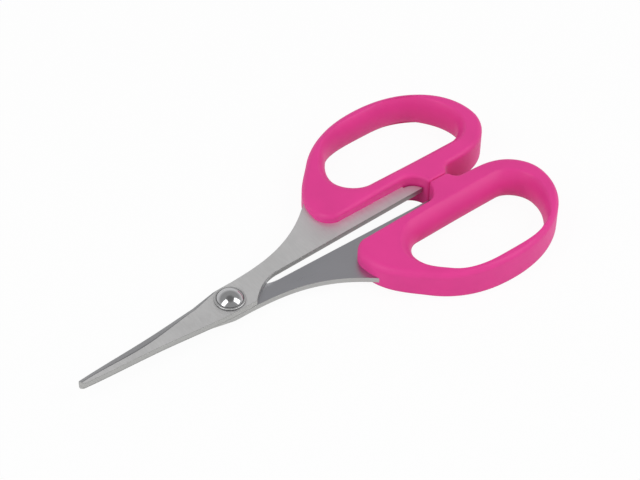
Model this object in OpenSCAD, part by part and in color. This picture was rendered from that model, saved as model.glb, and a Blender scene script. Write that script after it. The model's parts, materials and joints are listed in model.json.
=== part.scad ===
// Floral snips: two steel plates on one rivet, each moulded into a plastic finger bow.
// Built about the pivot axis: blades along -X, bows along +X, front half on the +Y side.
// The rear half is the front half turned over about the X axis.

/* [Overall] */
// Pivot axis to the blade tips
blade_l = 46; // [38:0.5:56]
// Pivot axis to the back of the finger bows
grip_l = 94; // [86:0.5:113]
// Centre line to the outside of each finger bow
spread = 34.5; // [28:0.5:42]

/* [Plates] */
// Thickness of each steel plate
plate_t = 1.6; // [1.2:0.1:2.4]
// Running gap between the two plates
plate_gap = 0.04; // [0.02:0.01:0.1]
// Half width of a plate at the pivot
pivot_half = 4.6; // [4.2:0.1:6]
// Half width of the closed blades halfway to the tip
belly_half = 2.75; // [2.2:0.05:3.6]
// Half width of the blunt tip
tip_half = 1.35; // [0.9:0.05:1.8]
// Rounding of the tip's corners
tip_r = 0.6; // [0.3:0.05:0.8]
// Pivot axis to the corner behind the cutting edge
heel_x = 5.3; // [4.6:0.1:7]
// Pivot axis to the start of the straight tang
tang_x = 15; // [13:0.5:20]
// Centre line to the tang's inner edge, where the tang starts
slot_half = 0.7; // [0.4:0.05:1.2]
// Centre line to the tang's inner edge, at the tang's end
slot_end_half = 1.65; // [1:0.05:2.4]
// Centre line to the flared shoulder, where it enters the handle
shoulder_half = 18.2; // [16:0.1:20]
// Plastic left between the tang and the finger hole
tang_cover = 2.8; // [2:0.1:4]
// Gap between the tang's bare end and the handle's wall
tang_end_gap = 0.5; // [0.3:0.05:1]

/* [Ground bevel] */
// Flat left on the edge under the bevel
edge_land = 0.15; // [0.05:0.05:0.4]
// Width of the bevel at the tip
bevel_tip_w = 1.7; // [1:0.1:2]
// Width of the bevel halfway along the blade
bevel_mid_w = 2.4; // [1.6:0.1:3.2]
// Width of the bevel at its heel
bevel_heel_w = 1.6; // [1:0.1:2.4]
// Pivot axis to where the bevel starts to run out
bevel_heel_x = 9; // [7:0.5:14]
// Pivot axis to where the bevel has run out
bevel_out_x = 1.5; // [0.5:0.5:4]

/* [Pivot rivet] */
// Diameter of the shank
shank_d = 4; // [3:0.1:5]
// Diameter of the head's flat rim
head_d = 8.2; // [7:0.1:9]
// Thickness of the head's flat rim
rim_t = 0.45; // [0.3:0.05:0.8]
// Diameter of the dome on the rim
dome_d = 7.2; // [5.5:0.1:8]
// Height of the dome above the rim
dome_h = 1.75; // [1.2:0.05:2.4]
// Radial clearance of the shank in the moving plate
pivot_clear = 0.04; // [0.02:0.01:0.1]
// Radial clearance of the shank in the plate and washer it is peened onto
fixed_clear = 0.01; // [0:0.01:0.05]
// Clearance under the head
head_clear = 0.03; // [0.02:0.01:0.1]
// Diameter of the washer under the peened tail
washer_d = 7; // [6:0.1:8.5]
// Thickness of the washer
washer_t = 0.6; // [0.4:0.1:1]
// Diameter of the peened tail
tail_d = 5.4; // [4.8:0.1:6.5]
// Height of the peened tail
tail_h = 0.9; // [0.6:0.05:1.2]

/* [Handles] */
// Thickness of each handle
handle_t = 10; // [8.5:0.5:12]
// Pivot axis to the front of the handles
nose_x = 35; // [33:0.1:38]
// Centre line to the inner wall of each handle
grip_half = 5.2; // [4.6:0.1:6]
// Width of the bar between the inner wall and the finger hole
bar_w = 5.4; // [4.8:0.1:7]
// Width of the bow outside the finger hole
ring_w = 3.8; // [3.4:0.1:5]
// Width of the bow behind the finger hole
back_w = 5.5; // [4.5:0.1:7]
// Length of the nose in front of the finger hole
nose_l = 12.5; // [10:0.1:14]
// Pivot axis to where each bow is widest
crown_x = 67.5; // [63:0.5:72]
// Pivot axis to the stop face where the handles meet
stop_x = 66.6; // [63:0.1:69]
// Length of the stop face
stop_l = 5; // [3:0.1:7]
// Gap between each stop face and the centre line
stop_gap = 0.04; // [0.02:0.01:0.1]
// Depth of the hollow behind the stop face
hollow_d = 2.7; // [1.5:0.1:3.5]
// Rounding of the handle's outer edges
edge_r = 1.6; // [1:0.1:2]
// Widening of the finger hole from its middle to each face
hole_flare = 2.4; // [1.6:0.1:2.8]
// Clearance round the tang, moulded into the handle
mould_clear = 0.01; // [0:0.01:0.05]

/* [Hidden] */
// Largest turn along one facet of an outline, in degrees
FACET_TURN = 5;
// Bezier arm, as a share of the chord, that keeps a leg close to an arc
ARM = 0.35;
// How far a cutter reaches past what it cuts
OVER = 1;
// Layers in the rounding on each face of a handle
ROUND_STEPS = 4;
// Facets round a true circle
ROUND_FN = 96;
// The handle's wall bends in ahead of the stop over this length, and leans back by the second value
THROAT_L = 5.2;
THROAT_LEAN = 0.7;

half_t = handle_t / 2;
face_z = plate_gap / 2;
top_z = face_z + plate_t;
stop_end_x = stop_x + stop_l;
hole_x0 = nose_x + nose_l;
hole_x1 = grip_l - back_w;
hole_y0 = grip_half + bar_w;
hole_y1 = spread - ring_w;
// The tang: covered in the bar, bare past the inner wall, ending short of the stop
tang_top = hole_y0 - tang_cover;
bevel_mid_x = (bevel_heel_x + blade_l) / 2;
tang_end_x = stop_x - THROAT_LEAN - tang_end_gap;
// The bodies stand on their handles: the origin is under the middle of the bounding box
pivot_at = [(blade_l - grip_l) / 2, 0, half_t];

// ---- Outlines: knots [x, y, heading in, heading out], joined by Bezier legs ----

function heading_in(k) = k[2];
function heading_out(k) = len(k) > 3 ? k[3] : k[2];
function turn(a, b) = (b - a + 900) % 360 - 180;
function chord(a, b) = atan2(b.y - a.y, b.x - a.x);
function bend(a, b) =
    abs(turn(heading_out(a), chord(a, b))) + abs(turn(chord(a, b), heading_in(b)));
function along(p, reach, heading) = p + reach * [cos(heading), sin(heading)];
function bezier(p, t) =
    pow(1 - t, 3) * p[0] + 3 * pow(1 - t, 2) * t * p[1] + 3 * (1 - t) * t * t * p[2] + pow(t, 3) * p[3];
// Points from knot a up to, not including, knot b
function leg(a, b) =
    let (start = [a.x, a.y],
         end = [b.x, b.y],
         reach = ARM * norm(end - start),
         arms = [start, along(start, reach, heading_out(a)), along(end, -reach, heading_in(b)), end],
         steps = max(1, ceil(bend(a, b) / FACET_TURN - 0.01)))
    [for (i = [0 : steps - 1]) bezier(arms, i / steps)];
function path(knots) = [for (i = [0 : len(knots) - 2]) each leg(knots[i], knots[i + 1])];
function closed(knots) = path(concat(knots, [knots[0]]));
// The same knots seen in the X axis, travelled the other way
function turned_back(knots) =
    [for (i = [len(knots) - 1 : -1 : 0])
        let (k = knots[i]) [k.x, -k.y, 180 - heading_out(k), 180 - heading_in(k)]];

// ---- Plates ----

// Cutting edge from the pivot out to the start of the tip's rounding
edge_knots = [
    [0, pivot_half, 181],
    [-blade_l / 2, belly_half, 184.5],
    [-blade_l + tip_r, tip_half, 185]];
tip_knots = [[-blade_l, tip_half - tip_r * 0.8, 262, 270]];
// Heel, along the slot, round the tang's end and back to the pivot
back_knots = [
    [heel_x, -pivot_half, 1, 46],
    [tang_x, slot_half, 4, 1],
    [tang_end_x, slot_end_half, 1, 104],
    [stop_x - THROAT_L, grip_half - tang_end_gap, 178, 95],
    [stop_x - THROAT_L - 2, tang_top, 180],
    [hole_x0 + 2, tang_top, 180, 150],
    [nose_x + 5.1, shoulder_half - 1.6, 110],
    [nose_x + 3.3, shoulder_half, 180, 224],
    [tang_x + 9, pivot_half + 3.75, 203],
    [heel_x, pivot_half + 0.1, 183]];
plate_knots = concat(back_knots, edge_knots, tip_knots, turned_back(concat(edge_knots, tip_knots)));

module plate_outline() {
    polygon(closed(plate_knots));
}

// Half width of the blade at distance d from the pivot
function edge_half(d) = lookup(d, [for (p = path(edge_knots)) [-p.x, p.y]]);
// Share of the bevel's full depth at d: none where it has run out, all of it from the heel on
function bevel_share(d) = min(1, (d - bevel_out_x) / (bevel_heel_x - bevel_out_x));
function bevel_w(d) =
    lookup(d, [[bevel_heel_x, bevel_heel_w], [bevel_mid_x, bevel_mid_w], [blade_l, bevel_tip_w]]);
// Triangle across the blade that the grinding takes off at distance d
function bevel_section(d) =
    let (w = bevel_w(d),
         share = bevel_share(d),
         rise = plate_t - edge_land,
         low = [edge_half(d), top_z - share * rise],
         high = [edge_half(d) - share * w, top_z],
         down = OVER / 2 * [w, -rise])
    [[-d, high.x - down.x, high.y - down.y],
     [-d, low.x + down.x, low.y + down.y],
     [-d, low.x + down.x, high.y - down.y]];

module bevel_cut() {
    stations = [bevel_out_x - 0.5, bevel_heel_x, bevel_mid_x, blade_l + OVER];
    sections = [for (d = stations) bevel_section(d)];
    last = len(sections) - 1;
    polyhedron(
        points = [for (s = sections) each s],
        faces = concat(
            [[2, 1, 0], [3 * last, 3 * last + 1, 3 * last + 2]],
            [for (i = [0 : last - 1], j = [0 : 2])
                let (a = 3 * i + j, b = 3 * i + (j + 1) % 3) each [[b, a + 3, a], [b + 3, a + 3, b]]]));
}

// A plate as the front one lies: inner face down at z = face_z, bevel on top
module plate(bore_d) {
    difference() {
        translate([0, 0, face_z]) linear_extrude(plate_t) plate_outline();
        cylinder(h = 2 * (top_z + OVER), d = bore_d, center = true, $fn = ROUND_FN);
        bevel_cut();
    }
}

module front_blade() {
    color("silver") plate(shank_d + 2 * pivot_clear);
}

module rear_blade() {
    color("silver") rotate([180, 0, 0]) plate(shank_d + 2 * fixed_clear);
}

// ---- Handles ----

grip_knots = [
    [nose_x + 4.6, grip_half, 0],
    [stop_x - THROAT_L, grip_half, 0],
    [stop_x - THROAT_LEAN, stop_gap + 1.3, 285],
    [stop_x, stop_gap, 0],
    [stop_end_x, stop_gap, 0],
    [stop_end_x + 2, hollow_d - 0.7, 42],
    [stop_end_x + 5.4, hollow_d, 2],
    [stop_end_x + 9.4, hollow_d + 0.1, 4],
    [grip_l - 4.6, hollow_d + 3, 38],
    [grip_l, spread * 0.42, 90],
    [grip_l - 5.7, spread * 0.79, 137],
    [crown_x, spread, 180],
    [nose_x + 9.9, spread * 0.765, 225],
    [nose_x + 1, 15.8, 249],
    [nose_x, 10, 270]];
hole_knots = [
    [hole_x0 + 6.5, hole_y0 + 0.4, 358],
    [hole_x1 - 6.5, hole_y0, 0],
    [hole_x1, hole_y0 + 5.5, 90],
    [hole_x1 - 4, hole_y1 - 4.6, 128],
    [crown_x, hole_y1, 180],
    [hole_x0 + 4.4, hole_y1 - 3.9, 226],
    [hole_x0, hole_y0 + 7, 270]];

function outer_inset(z) = z < half_t - edge_r ? 0 : edge_r - sqrt(edge_r * edge_r - pow(z - half_t + edge_r, 2));
function hole_outset(angle) = hole_flare * (1 - cos(angle));

// One layer of the rounding: each is taller than the last and drawn in from the walls
module handle_layer(step) {
    sweep = 90 / ROUND_STEPS;
    low = half_t * sin(sweep * step);
    high = half_t * sin(sweep * (step + 1));
    linear_extrude(2 * high, center = true)
        difference() {
            offset(delta = -outer_inset((low + high) / 2)) polygon(closed(grip_knots));
            offset(delta = hole_outset(sweep * (step + 0.5))) polygon(closed(hole_knots));
        }
}

module handle() {
    difference() {
        union() for (step = [0 : ROUND_STEPS - 1]) handle_layer(step);
        translate([0, 0, face_z - mould_clear])
            linear_extrude(plate_t + 2 * mould_clear)
                offset(delta = mould_clear) plate_outline();
    }
}

module front_handle() {
    color("hotpink") handle();
}

module rear_handle() {
    color("hotpink") rotate([180, 0, 0]) handle();
}

// ---- Pivot ----

// Low round cap of a sphere, standing on z = 0
module cap(d, h) {
    r = (d * d / 4 + h * h) / (2 * h);
    intersection() {
        translate([0, 0, h - r]) sphere(r = r, $fn = ROUND_FN);
        cylinder(h = h + OVER, d = d + OVER, $fn = ROUND_FN);
    }
}

module pivot_rivet() {
    head_z = top_z + head_clear;
    tail_z = -top_z - washer_t;
    color("gainsboro") {
        translate([0, 0, tail_z]) cylinder(h = head_z - tail_z, d = shank_d, $fn = ROUND_FN);
        translate([0, 0, head_z]) cylinder(h = rim_t, d = head_d, $fn = ROUND_FN);
        translate([0, 0, head_z + rim_t]) cap(dome_d, dome_h);
        translate([0, 0, tail_z]) rotate([180, 0, 0]) cap(tail_d, tail_h);
    }
}

module rivet_washer() {
    color("gainsboro")
        translate([0, 0, -top_z - washer_t])
            difference() {
                cylinder(h = washer_t, d = washer_d, $fn = ROUND_FN);
                translate([0, 0, -OVER])
                    cylinder(h = washer_t + 2 * OVER, d = shank_d + 2 * fixed_clear, $fn = ROUND_FN);
            }
}

translate(pivot_at) front_blade();
translate(pivot_at) rear_blade();
translate(pivot_at) front_handle();
translate(pivot_at) rear_handle();
translate(pivot_at) pivot_rivet();
translate(pivot_at) rivet_washer();
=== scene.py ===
import bisect
import json
import math
import bmesh
import bpy
from mathutils import Matrix, Vector


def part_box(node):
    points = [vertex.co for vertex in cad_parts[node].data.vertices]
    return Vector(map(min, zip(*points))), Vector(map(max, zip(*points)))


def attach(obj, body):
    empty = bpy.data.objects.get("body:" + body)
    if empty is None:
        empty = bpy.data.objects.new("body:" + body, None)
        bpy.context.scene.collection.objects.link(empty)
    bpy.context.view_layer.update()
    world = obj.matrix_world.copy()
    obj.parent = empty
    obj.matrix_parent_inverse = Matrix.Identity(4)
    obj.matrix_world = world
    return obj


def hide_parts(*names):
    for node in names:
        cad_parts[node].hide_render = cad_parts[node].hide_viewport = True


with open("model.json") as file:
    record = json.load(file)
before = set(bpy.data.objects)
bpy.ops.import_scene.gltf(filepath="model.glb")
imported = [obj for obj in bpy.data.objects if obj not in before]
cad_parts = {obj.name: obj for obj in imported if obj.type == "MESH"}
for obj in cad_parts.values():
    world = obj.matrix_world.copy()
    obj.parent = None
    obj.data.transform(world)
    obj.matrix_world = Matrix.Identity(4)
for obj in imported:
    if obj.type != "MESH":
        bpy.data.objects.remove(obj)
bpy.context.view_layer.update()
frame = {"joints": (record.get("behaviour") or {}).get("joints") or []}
mm = 0.001

# Driving sizes, in mm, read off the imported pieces. The drawing axes start at the pivot.
pivotAt = Vector(frame["joints"][0]["pos_m"])
bladeLow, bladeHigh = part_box("front_blade")
gripLow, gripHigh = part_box("front_handle")
rivetLow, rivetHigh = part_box("pivot_rivet")
washerLow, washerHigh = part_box("rivet_washer")
bladeL = (pivotAt.x - bladeLow.x) / mm
gripL = (gripHigh.x - pivotAt.x) / mm
noseX = (gripLow.x - pivotAt.x) / mm
spread = gripHigh.y / mm
halfT = (gripHigh.z - gripLow.z) / mm / 2
faceZ = (bladeLow.z - pivotAt.z) / mm
topZ = (bladeHigh.z - pivotAt.z) / mm
print("frame loaded: blades", round(bladeL, 1), "mm, bows", round(gripL, 1), "mm from the pivot")


def smoothStep(t):
    return t * t * (3 - 2 * t)


def legPoint(p, t):
    s = 1 - t
    return p[0] * s ** 3 + p[1] * 3 * s * s * t + p[2] * 3 * s * t * t + p[3] * t ** 3


def aim(degrees):
    return Vector((math.cos(math.radians(degrees)), math.sin(math.radians(degrees))))


def pathThrough(knots, spacing, arm=0.35):
    # a knot is x, y, heading in, heading out and one value that blends along the path
    rows = []
    for a, b in zip(knots, knots[1:]):
        start, end = Vector(a[:2]), Vector(b[:2])
        reach = arm * (end - start).length
        arms = [start, start + aim(a[3]) * reach, end - aim(b[2]) * reach, end]
        steps = max(3, math.ceil((end - start).length / spacing))
        for i in range(steps):
            t = i / steps
            rows.append((legPoint(arms, t), a[4] + (b[4] - a[4]) * smoothStep(t)))
    return rows


def outlineThrough(knots, spacing):
    return pathThrough(knots + knots[:1], spacing)


def outwardNormals(points):
    # for an outline that runs anticlockwise
    normals = []
    for i in range(len(points)):
        run = points[(i + 1) % len(points)] - points[i - 1]
        normals.append(Vector((run.y, -run.x)).normalized())
    return normals


def place(x, y, z):
    return pivotAt + Vector((x, y, z)) * mm


def newPiece(name, points, faces):
    mesh = bpy.data.meshes.new(name)
    mesh.from_pydata(points, [], faces)
    shell = bmesh.new()
    shell.from_mesh(mesh)
    bmesh.ops.recalc_face_normals(shell, faces=shell.faces)
    shell.to_mesh(mesh)
    shell.free()
    piece = bpy.data.objects.new(name, mesh)
    bpy.context.scene.collection.objects.link(piece)
    return piece


def ringFaces(rowCount, aroundCount, joined):
    # quads between rows of points; joined also closes the last row onto the first
    faces = []
    for row in range(rowCount if joined else rowCount - 1):
        below, above = row * aroundCount, (row + 1) % rowCount * aroundCount
        for i in range(aroundCount):
            k = (i + 1) % aroundCount
            faces.append((below + i, below + k, above + k, above + i))
    return faces


def turnOver(piece):
    # the rear half is the front half turned over about the X axis through the pivot
    there = Matrix.Translation(pivotAt)
    piece.data.transform(there @ Matrix.Rotation(math.pi, 4, "X") @ there.inverted())
    piece.data.update()
    return piece


def smoothShade(piece, sharpAngle):
    piece.data.polygons.foreach_set("use_smooth", [True] * len(piece.data.polygons))
    piece.data.set_sharp_from_angle(angle=math.radians(sharpAngle))


def carve(piece, cutter):
    change = piece.modifiers.new("carve", "BOOLEAN")
    change.operation = "DIFFERENCE"
    change.solver = "EXACT"
    change.material_mode = "TRANSFER"
    change.object = cutter
    bpy.context.view_layer.update()
    result = piece.evaluated_get(bpy.context.evaluated_depsgraph_get())
    mesh = bpy.data.meshes.new_from_object(result)
    piece.modifiers.clear()
    piece.data = mesh
    mesh.name = piece.name
    bpy.data.objects.remove(cutter)


def lathe(name, profile, aroundCount=96):
    # profile runs from one point on the axis to the other, or closes on itself as a ring
    capped = profile[0][0] == 0
    rings = profile[1:-1] if capped else profile
    points = []
    for radius, z in rings:
        for i in range(aroundCount):
            across = aim(360 * i / aroundCount) * radius
            points.append(place(across.x, across.y, z))
    faces = ringFaces(len(rings), aroundCount, not capped)
    if capped:
        foot, crown = len(points), len(points) + 1
        points += [place(0, 0, profile[0][1]), place(0, 0, profile[-1][1])]
        last = (len(rings) - 1) * aroundCount
        for i in range(aroundCount):
            k = (i + 1) % aroundCount
            faces.append((foot, k, i))
            faces.append((crown, last + i, last + k))
    return newPiece(name, points, faces)


def arcProfile(centre, radius, start, end, steps):
    # a corner of a lathe profile, radius out from the axis and height
    rows = []
    for i in range(steps + 1):
        spoke = aim(start + (end - start) * i / steps) * radius
        rows.append((centre[0] + spoke.x, centre[1] + spoke.y))
    return rows


class Wire:
    # wraps a socket, so that shader maths reads as an expression
    def __init__(self, tree, socket=None):
        self.tree = tree
        self.socket = socket

    def node(self, kind, settings, sockets, out=0):
        made = self.tree.nodes.new("ShaderNode" + kind)
        for name, value in settings.items():
            if name == "stops":
                self.setStops(made.color_ramp, value)
            else:
                setattr(made, name, value)
        for key, value in sockets.items():
            if isinstance(value, Wire):
                self.tree.links.new(value.socket, made.inputs[key])
            else:
                made.inputs[key].default_value = value
        return Wire(self.tree, made.outputs[out] if made.outputs else None)

    def setStops(self, ramp, stops):
        while len(ramp.elements) < len(stops):
            ramp.elements.new(0.5)
        for element, (position, shade) in zip(ramp.elements, stops):
            element.position = position
            element.color = (shade, shade, shade, 1)

    def maths(self, operation, first, second):
        return self.node("Math", {"operation": operation}, {0: first, 1: second})

    def __add__(self, other):
        return self.maths("ADD", self, other)

    def __radd__(self, other):
        return self.maths("ADD", other, self)

    def __sub__(self, other):
        return self.maths("SUBTRACT", self, other)

    def __rsub__(self, other):
        return self.maths("SUBTRACT", other, self)

    def __mul__(self, other):
        return self.maths("MULTIPLY", self, other)

    def __rmul__(self, other):
        return self.maths("MULTIPLY", other, self)

    def noise(self, where, scale, detail=3.0):
        # swings about zero, from -0.5 to 0.5
        return self.node("TexNoise", {}, {"Vector": where, "Scale": scale, "Detail": detail}) - 0.5

    def stretched(self, where, scale, turn=0.0):
        return self.node("Mapping", {"vector_type": "TEXTURE"},
                         {"Vector": where, "Rotation": (0, 0, math.radians(turn)), "Scale": scale})

    def blendColours(self, share, first, second):
        return self.node("Mix", {"data_type": "RGBA"}, {0: share, 6: first, 7: second}, out=2)

    def bump(self, height):
        # height in metres
        return self.node("Bump", {}, {"Strength": 1.0, "Distance": 1.0, "Height": height})


def newMaterial(name, fixed):
    made = bpy.data.materials.new(name)
    made.use_nodes = True
    shader = made.node_tree.nodes["Principled BSDF"]
    for socket, value in fixed.items():
        shader.inputs[socket].default_value = value
    return made, shader, Wire(made.node_tree)


def feed(shader, socket, wire):
    wire.tree.links.new(wire.socket, shader.inputs[socket])


def scaledColour(colour, share):
    return tuple(c * share for c in colour) + (1,)


def tintAround(wire, look, share):
    # the look's colour, a little darker where share is low and lighter where it is high
    darker = scaledColour(look["colour"], 1 - look["variation"])
    lighter = scaledColour(look["colour"], 1 + look["variation"])
    return wire.blendColours(share, darker, lighter)


pinkLook = {
    "colour": (0.80, 0.052, 0.30),
    "gloss": {"IOR": 1.45, "Specular IOR Level": 0.25},
    "variation": 0.06,
    "cloudScale": 90,      # soft patches, in the colour and the roughness
    "cloudTint": 1.6,
    "cloudRough": 0.12,
    "roughness": 0.4,
    "grainScale": 5200,    # fine texture of the mould
    "grainRough": 0.1,
    "grainHeight": 0.0000045,
    "waveScale": 260,      # slight unevenness of the moulding
    "waveHeight": 0.00003,
    "streakScale": 700,    # scuffs, drawn out along the grip
    "streakStretch": 9,
    "streakTurn": 12,
    "scuffs": 0.1,
    "scuffStops": [(0.60, 0), (0.72, 1)],
}


def makePinkPlastic(look):
    made, shader, wire = newMaterial("pinkPlastic", look["gloss"])
    where = wire.node("TexCoord", {}, {}, "Object")
    cloud = wire.noise(where, look["cloudScale"], 2)
    feed(shader, "Base Color", tintAround(wire, look, 0.5 + look["cloudTint"] * cloud))
    grain = wire.noise(where, look["grainScale"], 2)
    wave = wire.noise(where, look["waveScale"], 1)
    drawnOut = wire.stretched(where, (look["streakStretch"], 1, 1), look["streakTurn"])
    streak = wire.noise(drawnOut, look["streakScale"], 4)
    scuff = wire.node("ValToRGB", {"stops": look["scuffStops"]}, {"Fac": streak + 0.5})
    rough = look["roughness"] + look["grainRough"] * grain + look["cloudRough"] * cloud
    feed(shader, "Roughness", rough + look["scuffs"] * scuff)
    feed(shader, "Normal", wire.bump(look["grainHeight"] * grain + look["waveHeight"] * wave))
    return made


steelPatches = {
    "scale": 120,          # soft patches, the same in every steel
    "lineTint": 0.9,       # share of the grain lines in the colour
    "tint": 0.7,           # share of the patches in the colour
    "rough": 0.6,          # and in the roughness, beside the lines
}


def makeSteel(name, look):
    # grain runs along the object's X, turned by look["turn"] degrees
    made, shader, wire = newMaterial(name, {"Metallic": 1.0})
    where = wire.node("TexCoord", {}, {}, "Object")
    lines = wire.noise(wire.stretched(where, (look["stretch"], 1, 1), look["turn"]), look["lineScale"], 3)
    cloud = wire.noise(where, steelPatches["scale"], 3)
    share = 0.5 + steelPatches["lineTint"] * lines + steelPatches["tint"] * cloud
    feed(shader, "Base Color", tintAround(wire, look, share))
    swing = lines + steelPatches["rough"] * cloud
    feed(shader, "Roughness", look["roughness"] + look["roughSwing"] * swing)
    feed(shader, "Normal", wire.bump(look["lineHeight"] * lines))
    return made


satinLook = {"colour": (0.77, 0.765, 0.765), "variation": 0.06, "roughness": 0.54, "roughSwing": 0.16,
             "lineScale": 2600, "lineHeight": 0.000012, "stretch": 7, "turn": 90}
# ground bevel: the grain lines and roughness are its own finish, and its very dark colour is painted
# shade for the bevel's darker reflection
groundShadedLook = {"colour": (0.28, 0.28, 0.29), "variation": 0.06, "roughness": 0.4, "roughSwing": 0.2,
              "lineScale": 3200, "lineHeight": 0.00001, "stretch": 14, "turn": 80}
# mating face: its smoother finish is its own, and its colour, darker than the satin face's, is painted
# shade for its darker reflection
matingShadedLook = {"colour": (0.48, 0.48, 0.51), "variation": 0.05, "roughness": 0.31, "roughSwing": 0.14,
              "lineScale": 2400, "lineHeight": 0.000004, "stretch": 16, "turn": 0}
edgeLook = {"colour": (0.5, 0.5, 0.49), "variation": 0.1, "roughness": 0.42, "roughSwing": 0.2,
            "lineScale": 3000, "lineHeight": 0.000016, "stretch": 1.5, "turn": 0}
rivetLook = {"colour": (0.5, 0.5, 0.51), "variation": 0.03, "roughness": 0.13, "roughSwing": 0.08,
             "lineScale": 2800, "lineHeight": 0.000002, "stretch": 1, "turn": 0}
rimLook = dict(rivetLook, colour=(0.62, 0.62, 0.62), roughness=0.4)
# painted shade: a near-black steel for the crease round the rivet's dome and the lower half of its rim's
# side
creaseShadeLook = dict(rivetLook, colour=(0.16, 0.16, 0.165), roughness=0.45)
washerLook = dict(rivetLook, roughness=0.3, variation=0.05)

pinkPlastic = makePinkPlastic(pinkLook)
satinSteel = makeSteel("satinSteel", satinLook)
groundShadedSteel = makeSteel("groundShadedSteel", groundShadedLook)
matingShadedSteel = makeSteel("matingShadedSteel", matingShadedLook)
edgeSteel = makeSteel("edgeSteel", edgeLook)
rivetSteel = makeSteel("rivetSteel", rivetLook)
rimSteel = makeSteel("rimSteel", rimLook)
creaseShadeSteel = makeSteel("creaseShadeSteel", creaseShadeLook)
washerSteel = makeSteel("washerSteel", washerLook)
print("materials made")


handle = {
    "gripHalf": 5.2,       # centre line to the inner wall
    "barW": 5.4,           # inner wall to the finger hole
    "ringW": 3.8,          # bow outside the finger hole
    "backW": 5.5,          # bow behind the finger hole
    "noseL": 12.5,         # nose in front of the finger hole
    "crownX": 67.5,        # where the bow is widest
    "stopX": 66.6,         # stop face where the handles meet
    "stopL": 5.0,
    "stopGap": 0.04,
    "hollowD": 2.7,        # hollow behind the stop face
    "edgeR": 1.5,          # rounding of the outer edge round the bow
    "wallR": 1.3,          # the same along the inner wall
    "noseR": 2.5,          # the same round the nose
    "stopR": 0.8,          # the same at the stop
    "ringFlare": 1.6,      # how far the hole widens from its middle to each face, on the bow
    "barFlare": 3.0,       # the same on the bar and the nose
    "holeSweep": 50,       # degrees of arc in the hole's wall, from mid height to its crest
    "crestR": 0.4,         # reach of the soft crest each side of the hole's edge
    "noseThin": 0.17,      # share of the thickness lost at the nose
    "thinEnd": 62.0,       # where the full thickness is reached
    "throatL": 5.2,        # straight inner wall to the stop face
    "throatLean": 0.7,     # how far the turn between them swings in front of the face
    "fanX": 0.5,           # point that the sections fan out from, behind the widest place
    "fanShare": 0.58,      # and its share of the half width
    "crestShare": 0.45,    # most of the face that the crest may take
    "crestJoin": 2,        # point of the hole's wall that the crest runs into
    "sideSteps": 4,        # points of a section up the side, and across the face
    "edgeSteps": 8,        # round the outer edge
    "crestSteps": 5,       # over the crest
    "holeSteps": 16,       # down the hole's wall
    "spacing": 0.5,        # between points of the outline
    "holeFiner": 4,        # how much closer the hole's points lie, as sections look places up in them
    "sharpAngle": 60,
}


def gripKnots(h):
    edgeR, wallR, stopR = h["edgeR"], h["wallR"], h["stopR"]
    stopEnd = h["stopX"] + h["stopL"]
    return [
        # inner wall, and the turn into the stop face
        (noseX + 4.6, h["gripHalf"], 0, 0, wallR),
        (h["stopX"] - h["throatL"], h["gripHalf"], 0, 0, wallR),
        (h["stopX"] - h["throatLean"], h["stopGap"] + 1.3, 285, 285, stopR),
        (h["stopX"], h["stopGap"], 0, 0, stopR),
        (stopEnd, h["stopGap"], 0, 0, stopR),
        # the hollow behind it
        (stopEnd + 2, h["hollowD"] - 0.7, 42, 42, stopR * 1.6),
        (stopEnd + 5.4, h["hollowD"], 2, 2, wallR),
        (stopEnd + 9.4, h["hollowD"] + 0.1, 4, 4, edgeR),
        # round the back of the bow, over its widest place and down the nose
        (gripL - 4.6, h["hollowD"] + 3, 38, 38, edgeR),
        (gripL, spread * 0.42, 90, 90, edgeR),
        (gripL - 5.7, spread * 0.79, 137, 137, edgeR),
        (h["crownX"], spread, 180, 180, edgeR),
        (noseX + 9.9, spread * 0.765, 225, 225, edgeR * 1.2),
        (noseX + 1, 15.8, 249, 249, h["noseR"]),
        (noseX, 10, 270, 270, h["noseR"]),
    ]


def holeKnots(h):
    x0, x1 = noseX + h["noseL"], gripL - h["backW"]
    y0, y1 = h["gripHalf"] + h["barW"], spread - h["ringW"]
    ring, bar = h["ringFlare"], h["barFlare"]
    return [
        # along the bar
        (x0 + 6.5, y0 + 0.4, 358, 358, bar),
        (x1 - 6.5, y0, 0, 0, bar),
        # round inside the bow to the nose
        (x1, y0 + 5.5, 90, 90, ring),
        (x1 - 4, y1 - 4.6, 128, 128, ring),
        (h["crownX"], y1, 180, 180, ring),
        (x0 + 4.4, y1 - 3.9, 226, 226, ring),
        (x0, y0 + 7, 270, 270, bar),
    ]


def matchByAngle(rows, centre):
    # table of an outline's points, normals and values in order of their angle about centre
    points = [p for p, _ in rows]
    found = []
    for point, normal, (_, value) in zip(points, outwardNormals(points), rows):
        spoke = point - centre
        found.append((math.atan2(spoke.y, spoke.x), point, normal, value))
    found.sort(key=lambda entry: entry[0])
    first, last = found[0], found[-1]
    turn = 2 * math.pi
    return [(last[0] - turn,) + last[1:]] + found + [(first[0] + turn,) + first[1:]]


def atAngle(table, angles, angle):
    k = min(max(bisect.bisect(angles, angle), 1), len(table) - 1)
    a, b = table[k - 1], table[k]
    t = (angle - a[0]) / (b[0] - a[0])
    return a[1].lerp(b[1], t), a[2].lerp(b[2], t).normalized(), a[3] + (b[3] - a[3]) * t


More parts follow.
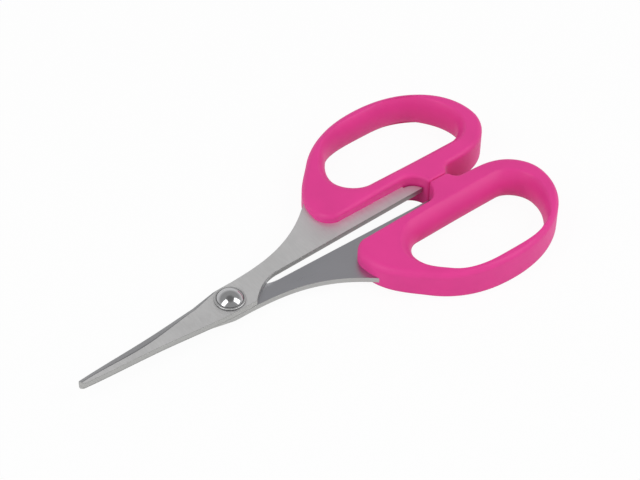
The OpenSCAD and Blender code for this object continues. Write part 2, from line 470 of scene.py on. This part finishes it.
def handleSection(h, outer, outerNormal, edgeR, hole, holeNormal, flare):
    # upper half of one section, from mid height on the outside, over the top, to mid height in the hole
    rows = []
    side, corner, crest = h["sideSteps"], h["edgeSteps"], h["crestSteps"]
    for i in range(side):
        rows.append((outer, (halfT - edgeR) * i / side))
    for i in range(corner + 1):
        phi = math.radians(90 * i / corner)
        spot = outer - outerNormal * edgeR * (1 - math.cos(phi))
        rows.append((spot, halfT - edgeR + edgeR * math.sin(phi)))
    rim = rows[-1][0]
    wall = holeWall(h, hole, holeNormal, flare)
    lip = wall[0][0]
    soft = min(h["crestR"], (lip - rim).length * h["crestShare"])
    crestStart = lip + (rim - lip).normalized() * soft
    for i in range(1, side):
        rows.append((rim.lerp(crestStart, i / side), halfT))
    join = h["crestJoin"]
    wallSpot, wallHeight = wall[join]
    for i in range(crest + 1):
        t = i / crest
        spot = crestStart * (1 - t) ** 2 + lip * 2 * t * (1 - t) + wallSpot * t * t
        rows.append((spot, halfT * ((1 - t) ** 2 + 2 * t * (1 - t)) + wallHeight * t * t))
    return rows + wall[join + 1:]


def holeWall(h, hole, holeNormal, flare):
    # from the crest down to mid height, an arc that is upright at mid height
    sweep, steps = math.radians(h["holeSweep"]), h["holeSteps"]
    rows = []
    for i in range(steps + 1):
        phi = sweep * (1 - i / steps)
        out = flare * (1 - math.cos(phi)) / (1 - math.cos(sweep))
        rows.append((hole + holeNormal * out, halfT * math.sin(phi) / math.sin(sweep)))
    return rows


def thinned(h, x):
    # share of the full thickness at x
    return 1 - h["noseThin"] * (1 - smoothStep(min(1, (x - noseX) / (h["thinEnd"] - noseX))))


def makeHandle(name, h):
    outline = outlineThrough(gripKnots(h), h["spacing"])
    hole = outlineThrough(holeKnots(h), h["spacing"] / h["holeFiner"])
    centre = Vector((h["crownX"] + h["fanX"], spread * h["fanShare"]))
    table = matchByAngle(hole, centre)
    angles = [entry[0] for entry in table]
    points = [p for p, _ in outline]
    sections = []
    for point, normal, (_, edgeR) in zip(points, outwardNormals(points), outline):
        spoke = point - centre
        holePoint, holeNormal, flare = atAngle(table, angles, math.atan2(spoke.y, spoke.x))
        upper = handleSection(h, point, normal, edgeR, holePoint, holeNormal, flare)
        lower = [(p, -z) for p, z in reversed(upper[1:-1])]
        sections.append(upper + lower)
    verts = []
    for section in sections:
        for p, z in section:
            verts.append(place(p.x, p.y, z * thinned(h, p.x)))
    count = len(sections[0])
    piece = newPiece(name, verts, ringFaces(len(sections), count, True))
    piece.data.materials.append(pinkPlastic)
    smoothShade(piece, h["sharpAngle"])
    return piece


frontHandle = makeHandle("frontHandle", handle)
rearHandle = turnOver(makeHandle("rearHandle", handle))
print("handles made:", len(frontHandle.data.polygons), "faces each")


blade = {
    "pivotHalf": 4.6,      # half width at the pivot
    "bellyHalf": 2.75,     # half width halfway to the tip
    "tipHalf": 1.35,
    "tipR": 0.6,
    "heelX": 5.3,          # corner behind the cutting edge
    "tangX": 15.0,         # start of the straight tang
    "slotHalf": 0.7,       # half the slot between the two tangs, at its start
    "slotEndHalf": 1.65,   # and at its end
    "shoulderHalf": 18.2,  # centre line to the shoulder's corner
    "tangCover": 2.8,      # plastic between the covered tang and the finger hole
    "tangEndGap": 0.5,     # plastic in front of the tang's end
    "tangTopL": 7.2,       # covered tang's far corner to the stop face
    "boreR": 2.04,
    "boreOver": 1,         # how far the bore's cutter reaches past the plate
    "softR": 0.1,          # rounding of every stamped edge
    "softMid": 0.3,        # share of it left halfway round
    "spacing": 0.8,        # between points of the outline
    "sharpAngle": 26,
    "faceWeight": 100,     # how far the flat faces lead the shading
}
bevel = {
    "land": 0.15,          # flat left on the edge under the bevel
    "outX": 1.5,           # where the bevel has run out
    "heelX": 9.0,          # where it starts to run out
    "heelW": 1.6,
    "midW": 2.4,
    "tipW": 1.7,
    "bow": 0.15,           # extra depth partway along the run-out
    "fade": 0.16,          # share of the width that blends into the face
    "fadeDrop": 0.015,
    "softEdge": 0.12,      # share of the width past the bevel that the cutter only grazes
    "softRise": 0.004,
    "idleTop": (-0.01, 0.02),    # the cutter's upper edge before the bevel starts
    "over": 1.0,           # how far the cutter reaches past the plate
    "lead": 0.4,           # how far the cutter starts before the bevel
    "stations": 60,        # sections along the cutter
}


def edgeKnots(b):
    return [
        (0, b["pivotHalf"], 181, 181, 0),
        (-bladeL / 2, b["bellyHalf"], 184.5, 184.5, 0),
        (-bladeL + b["tipR"], b["tipHalf"], 185, 185, 0),
        (-bladeL, b["tipHalf"] - b["tipR"] * 0.8, 262, 270, 0),
    ]


def plateKnots(b, h):
    edge = edgeKnots(b)
    back = [(x, -y, 180 - headOut, 180 - headIn, v) for x, y, headIn, headOut, v in reversed(edge)]
    stopX, gripHalf = h["stopX"], h["gripHalf"]
    tangTop = gripHalf + h["barW"] - b["tangCover"]
    return [
        (b["heelX"], -b["pivotHalf"], 1, 46, 0),
        (b["tangX"], b["slotHalf"], 4, 1, 0),
        # covered tang, then the shoulder
        (stopX - h["throatLean"] - b["tangEndGap"], b["slotEndHalf"], 1, 104, 0),
        (stopX - h["throatL"], gripHalf - b["tangEndGap"], 178, 95, 0),
        (stopX - b["tangTopL"], tangTop, 180, 180, 0),
        (noseX + h["noseL"] + 2, tangTop, 180, 150, 0),
        (noseX + 5.1, b["shoulderHalf"] - 1.6, 110, 110, 0),
        (noseX + 3.3, b["shoulderHalf"], 180, 224, 0),
        (b["tangX"] + 9, b["pivotHalf"] + 3.75, 203, 203, 0),
        (b["heelX"], b["pivotHalf"] + 0.1, 183, 183, 0),
    ] + edge + back


def between(stops, x):
    # smooth blend through (place, value) stops
    if x <= stops[0][0]:
        return stops[0][1]
    for (x0, v0), (x1, v1) in zip(stops, stops[1:]):
        if x <= x1:
            return v0 + (v1 - v0) * smoothStep((x - x0) / (x1 - x0))
    return stops[-1][1]


def edgeHalfTable(b):
    # distance from the pivot and half width of the blade, along its cutting edge
    return [(-p.x, p.y) for p, _ in pathThrough(edgeKnots(b)[:3], 0.5)]


def straightBetween(table, x):
    for (x0, v0), (x1, v1) in zip(table, table[1:]):
        if x <= x1:
            return v0 + (v1 - v0) * (x - x0) / (x1 - x0)
    (x0, v0), (x1, v1) = table[-2:]
    return v1 + (v1 - v0) * (x - x1) / (x1 - x0)


def makeBevelCutter(b, g):
    # a long wedge whose lower face is the ground slope, with a soft upper edge
    table = edgeHalfTable(b)
    rise = topZ - faceZ - g["land"]
    widths = [(g["heelX"], g["heelW"]), ((g["heelX"] + bladeL) / 2, g["midW"]), (bladeL, g["tipW"])]
    verts = []
    start = g["outX"] - g["lead"]
    reach = bladeL + g["over"] - g["outX"] + g["lead"]
    stations = [start + reach * i / g["stations"] for i in range(g["stations"] + 1)]
    for x in stations:
        half, width = straightBetween(table, x), between(widths, x)
        share = min(1, (x - g["outX"]) / (g["heelX"] - g["outX"]))
        share = share * (1 + g["bow"] - g["bow"] * share)
        low = Vector((half, topZ - share * rise))
        high = Vector((half - share * width, topZ))
        slope = high - low if share > 0 else low - high
        slope = slope.normalized()
        outBelow = low - slope * g["over"]
        bend = high - slope * g["fade"] * width - Vector((0, g["fadeDrop"] * max(share, 0)))
        softTop = high + Vector((-g["softEdge"] * width, g["softRise"]) if share > 0 else g["idleTop"])
        above = softTop + Vector((0, g["over"]))
        corners = (outBelow, bend, softTop, above, Vector((half + 2 * g["over"], topZ + g["over"])))
        for p in corners:
            verts.append(place(-x, p.x, p.y))
    around = len(corners)
    faces = ringFaces(len(stations), around, False)
    last = (len(stations) - 1) * around
    faces += [tuple(reversed(range(around))), tuple(last + i for i in range(around))]
    cutter = newPiece("bevelCutter", verts, faces)
    # the bevel's faces take the ground steel, whose dark colour is painted shade
    cutter.data.materials.append(groundShadedSteel)
    return cutter


def makeBoreCutter(b):
    wide, low, high = b["boreR"], faceZ - b["boreOver"], topZ + b["boreOver"]
    return lathe("boreCutter", [(0, low), (wide, low), (wide, high), (0, high)])


def makeBlade(name, b, h, g):
    rows = outlineThrough(plateKnots(b, h), b["spacing"])
    points = [p for p, _ in rows]
    normals = outwardNormals(points)
    soft = b["softR"]
    mid = soft * b["softMid"]
    layers = [(soft, faceZ), (mid, faceZ + mid), (0, faceZ + soft),
              (0, topZ - soft), (mid, topZ - mid), (soft, topZ)]
    verts = []
    for inset, z in layers:
        for point, normal in zip(points, normals):
            spot = point - normal * inset
            verts.append(place(spot.x, spot.y, z))
    count = len(points)
    faces = ringFaces(len(layers), count, False)
    top = (len(layers) - 1) * count
    faces += [tuple(reversed(range(count))), tuple(top + i for i in range(count))]
    piece = newPiece(name, verts, faces)
    for finish in (satinSteel, matingShadedSteel, edgeSteel):
        piece.data.materials.append(finish)
    for face in piece.data.polygons:
        face.material_index = 2
    # the mating face's darker colour is painted shade
    piece.data.polygons[len(faces) - 2].material_index = 1     # mating face, underneath
    piece.data.polygons[len(faces) - 1].material_index = 0     # satin face, on top
    carve(piece, makeBoreCutter(b))
    carve(piece, makeBevelCutter(b, g))
    smoothShade(piece, b["sharpAngle"])
    weigh = piece.modifiers.new("faceWeights", "WEIGHTED_NORMAL")
    weigh.keep_sharp = True
    weigh.weight = b["faceWeight"]
    return piece


frontBlade = makeBlade("frontBlade", blade, handle, bevel)
rearBlade = turnOver(makeBlade("rearBlade", blade, handle, bevel))
print("blades made:", len(frontBlade.data.polygons), "faces each")


rivet = {
    "shankR": 2.0,
    "headR": 4.1,
    "rimT": 0.45,          # height of the rim's side
    "rimR": 0.14,          # rounding of the rim
    "rimSteps": 4,
    "domeR": 3.55,         # where the dome meets the rim
    "domeSteps": 22,
    "domeStop": 89,        # degrees of elevation at the dome's last ring
    "headClear": 0.03,     # under the head, so that the plate can turn
    "creaseShadeW": 0.08,       # painted shade: a dark line in the crease where the dome meets the rim
    "creaseOut": 0.1,      # where the rim starts to turn up to the dome
    "creaseR": 0.03,       # reach of that turn
    "tailR": 2.7,          # peened tail under the washer
    "tailH": 0.9,
    "tailStep": 6,         # degrees between its rings
    "sharpAngle": 40,
}
washer = {
    "shankGap": 0.01,
    "soft": 0.12,          # rounding of its edges
    "softSteps": 3,
    "sharpAngle": 40,
}


def makeRivet(r):
    headZ = topZ + r["headClear"]
    rimTop = headZ + r["rimT"]
    crownZ = (rivetHigh.z - pivotAt.z) / mm
    tailZ = (rivetLow.z - pivotAt.z) / mm
    tailTop = tailZ + r["tailH"]
    rimR, headR, domeR = r["rimR"], r["headR"], r["domeR"]
    profile = [(0, tailZ)]
    for degrees in range(r["tailStep"], 91, r["tailStep"]):
        angle = math.radians(degrees)
        profile.append((r["tailR"] * math.sin(angle), tailTop - r["tailH"] * math.cos(angle)))
    profile += [(r["shankR"], tailTop), (r["shankR"], headZ)]
    profile += arcProfile((headR - rimR, headZ + rimR), rimR, 270, 360, r["rimSteps"])
    profile += arcProfile((headR - rimR, rimTop - rimR), rimR, 0, 90, r["rimSteps"])
    rise = crownZ - rimTop
    sphereR = (domeR ** 2 + rise ** 2) / (2 * rise)
    span = math.degrees(math.asin(domeR / sphereR))
    profile += [(domeR + r["creaseOut"], rimTop), (domeR + r["creaseR"], rimTop + r["creaseR"])]
    profile += arcProfile((0, crownZ - sphereR), sphereR, 90 - span, r["domeStop"], r["domeSteps"])
    profile += [(0, crownZ)]
    piece = lathe("pivotRivet", profile)
    for finish in (rivetSteel, rimSteel, creaseShadeSteel):
        piece.data.materials.append(finish)
    # the third finish is painted shade, in the crease and on the lower half of the rim's side
    for face in piece.data.polygons:
        face.material_index = rivetFinishAndShade(r, (face.center - pivotAt) / mm, headZ, rimTop)
    smoothShade(piece, r["sharpAngle"])
    return piece


def rivetFinishAndShade(r, centre, headZ, rimTop):
    # 0 is polished, 1 the satin rim
    # 2 is painted shade, a dark colour in the crease round the dome and on the lower half of the rim's
    # side
    if centre.z < headZ:
        return 0
    out = centre.xy.length
    if centre.z < rimTop - r["rimT"] / 2 or abs(out - r["domeR"]) < r["creaseShadeW"]:
        return 2
    return 1 if out > r["domeR"] else 0


def makeWasher(w, r):
    low = (washerLow.z - pivotAt.z) / mm
    high = (washerHigh.z - pivotAt.z) / mm
    wide = (washerHigh.x - washerLow.x) / mm / 2
    soft = w["soft"]
    inner = r["shankR"] + w["shankGap"]
    profile = [(inner, high), (inner, low + soft), (inner + soft, low)]
    profile += arcProfile((wide - soft, low + soft), soft, 270, 360, w["softSteps"])
    profile += arcProfile((wide - soft, high - soft), soft, 0, 90, w["softSteps"])
    piece = lathe("rivetWasher", profile)
    piece.data.materials.append(washerSteel)
    smoothShade(piece, w["sharpAngle"])
    return piece


pivotRivet = makeRivet(rivet)
rivetWasher = makeWasher(washer, rivet)
print("pivot made")

for piece, body, node, slot in (
        (frontHandle, "front_half", "front_handle", "pink_plastic"),
        (rearHandle, "rear_half", "rear_handle", "pink_plastic"),
        (frontBlade, "front_half", "front_blade", "blade_steel"),
        (rearBlade, "rear_half", "rear_blade", "blade_steel"),
        (pivotRivet, "rear_half", "pivot_rivet", "rivet_steel"),
        (rivetWasher, "rear_half", "rivet_washer", "rivet_steel")):
    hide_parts(node)
    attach(piece, body)


studio = {
    "floorSize": 6.0,
    "floorDrop": 0.00005,  # clear of the underside
    "floorShade": 0.85,
    "floorGlow": 0.95,     # share of the floor that the camera sees as plain white
    "floorGloss": 0.4,     # the same share as seen in a gloss or through a clear surface
    "sky": [(0.12, 0.95), (0.5, 0.46), (0.86, 0.46), (0.96, 0.24)],    # sine of the height, brightness
    "lampDistance": 0.7,
}
lamps = [
    # name, bearing and height in degrees, width and height in metres, brightness
    ("leftBox", 176, 46, 0.3, 0.54, 3.0),
    ("rightBox", -44, 46, 0.34, 0.5, 3.0),
]
view = {
    "turn": -38.846,
    "lift": 45.899,
    "roll": -1.381,
    "lens": 132.432,
    "distance": 0.62087,
    "target": (0.00831, 0.003938, 0.0051),
    "sensor": 36,
    "nearest": 0.01,
}


def makeFloor(s):
    half = s["floorSize"] / 2
    across = ((-1, -1), (1, -1), (1, 1), (-1, 1))
    corners = [Vector((x * half, y * half, -s["floorDrop"])) for x, y in across]
    floor = newPiece("floor", corners, [(0, 1, 2, 3)])
    made = bpy.data.materials.new("paleFloor")
    made.use_nodes = True
    tree = made.node_tree
    tree.nodes.clear()
    wire = Wire(tree)
    shade = s["floorShade"]
    matt = wire.node("BsdfDiffuse", {}, {"Color": (shade, shade, shade, 1)})
    glow = wire.node("Emission", {}, {"Color": (1, 1, 1, 1), "Strength": 1.0})
    camera, gloss, clear = (rayKind(wire, kind) for kind in ("Camera", "Glossy", "Transmission"))
    share = s["floorGlow"] * camera + s["floorGloss"] * (gloss + clear)
    mixed = wire.node("MixShader", {}, {0: wire.maths("MINIMUM", share, 1.0), 1: matt, 2: glow})
    wire.node("OutputMaterial", {}, {"Surface": mixed})
    floor.data.materials.append(made)


def rayKind(wire, kind):
    return wire.node("LightPath", {}, {}, "Is " + kind + " Ray")


def makeWorld(s):
    world = bpy.data.worlds.new("studio")
    bpy.context.scene.world = world
    world.use_nodes = True
    tree = world.node_tree
    tree.nodes.clear()
    wire = Wire(tree)
    where = wire.node("TexCoord", {}, {}, "Generated")
    up = wire.node("SeparateXYZ", {}, {"Vector": where}, "Z")
    sky = wire.node("ValToRGB", {"stops": s["sky"]}, {"Fac": up})
    direct = wire.maths("MINIMUM", rayKind(wire, "Camera") + rayKind(wire, "Transmission"), 1.0)
    shown = wire.blendColours(direct, sky, (1, 1, 1, 1))
    glow = wire.node("Background", {}, {"Color": shown, "Strength": 1.0})
    wire.node("OutputWorld", {}, {"Surface": glow})


def makeLamp(name, bearing, height, wide, tall, brightness, distance):
    data = bpy.data.lights.new(name, "AREA")
    data.shape = "RECTANGLE"
    data.size = wide
    data.size_y = tall
    data.energy = brightness * math.pi * wide * tall
    lamp = bpy.data.objects.new(name, data)
    level = math.cos(math.radians(height))
    across = aim(bearing) * level
    away = Vector((across.x, across.y, math.sin(math.radians(height))))
    lamp.location = away * distance
    lamp.rotation_euler = away.to_track_quat("Z", "Y").to_euler()
    bpy.context.scene.collection.objects.link(lamp)


def makeCamera(v):
    turn, lift, roll = (math.radians(v[k]) for k in ("turn", "lift", "roll"))
    back = Vector((math.sin(turn) * math.cos(lift), -math.cos(turn) * math.cos(lift), math.sin(lift)))
    right = Vector((math.cos(turn), math.sin(turn), 0))
    up = back.cross(right)
    rolledRight = right * math.cos(roll) - up * math.sin(roll)
    rolledUp = right * math.sin(roll) + up * math.cos(roll)
    data = bpy.data.cameras.new("camera")
    data.lens = v["lens"]
    data.sensor_width = v["sensor"]
    data.clip_start = v["nearest"]
    camera = bpy.data.objects.new("camera", data)
    camera.matrix_world = Matrix((rolledRight, rolledUp, back)).transposed().to_4x4()
    camera.location = Vector(v["target"]) + back * v["distance"]
    bpy.context.scene.collection.objects.link(camera)
    bpy.context.scene.camera = camera


makeFloor(studio)
makeWorld(studio)
for lamp in lamps:
    makeLamp(*lamp, studio["lampDistance"])
makeCamera(view)
bpy.context.scene.view_settings.view_transform = "Standard"
print("studio set")
